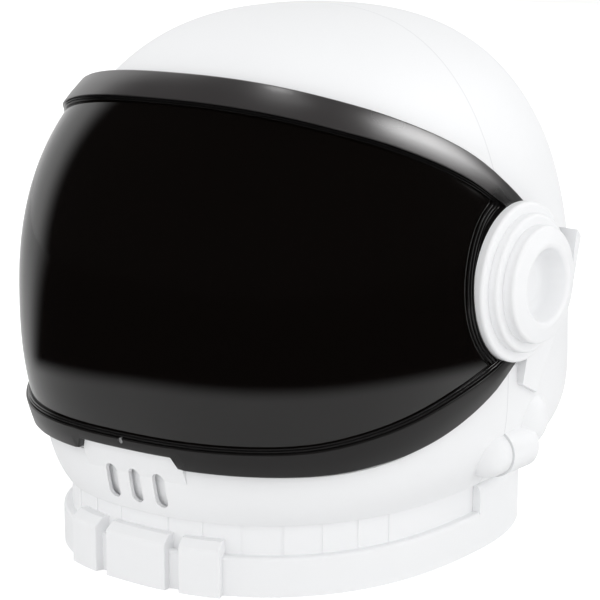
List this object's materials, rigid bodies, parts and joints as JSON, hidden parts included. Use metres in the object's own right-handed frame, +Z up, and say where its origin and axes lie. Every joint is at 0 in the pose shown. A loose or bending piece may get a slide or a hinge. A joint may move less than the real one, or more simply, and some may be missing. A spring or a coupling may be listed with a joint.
{
  "type": "astronaut helmet",
  "caption": "White moulded astronaut helmet on a stepped collar, with a dark smoked visor in a charcoal frame that swings up on round stepped ear knobs.",
  "frame": {"origin": "below the middle of the whole helmet, on the surface the collar stands on", "axes": "+Z up, the face looks towards -Y, the wearer's left is +X"},
  "size_m": [0.3304, 0.3439, 0.3133],
  "materials": {
    "white_shell": "satin moulded plastic",
    "charcoal_frame": "semi-gloss, slightly translucent",
    "smoked_lens": "dark smoked, high gloss",
    "steel": "plated",
    "dark_steel": "black plated",
    "nylon": "natural nylon",
    "fibre": "red fibre",
    "grille": "pale grey",
    "rubber": "black rubber",
    "foam": "black foam in knit cloth"
  },
  "bodies": {
    "helmet": {"front_shell": "white_shell", "rear_shell": "white_shell", "collar_front": "white_shell", "collar_rear": "white_shell", "pivot_bush_left": "nylon", "pivot_bush_right": "nylon", "friction_washer_left": "fibre", "friction_washer_right": "fibre", "vent_baffle": "grille", "shell_screws": "steel", "collar_screws": "steel", "visor_stops": "rubber", "crown_pad": "foam", "rear_pad": "foam", "side_pad_left": "foam", "side_pad_right": "foam"},
    "visor": {"visor_frame": "charcoal_frame", "visor_lens": "smoked_lens", "chin_screw": "dark_steel", "ear_knob_left": "white_shell", "ear_knob_right": "white_shell", "retaining_washer_left": "steel", "retaining_washer_right": "steel", "pivot_screw_left": "steel", "pivot_screw_right": "steel"}
  },
  "joints": [
    {"name": "visor_swing", "type": "hinge", "parent": "helmet", "child": "visor", "pos_m": [0, 0.0074, 0.163], "axis": [-1, 0, 0], "range_deg": [0, 55]}
  ]
}
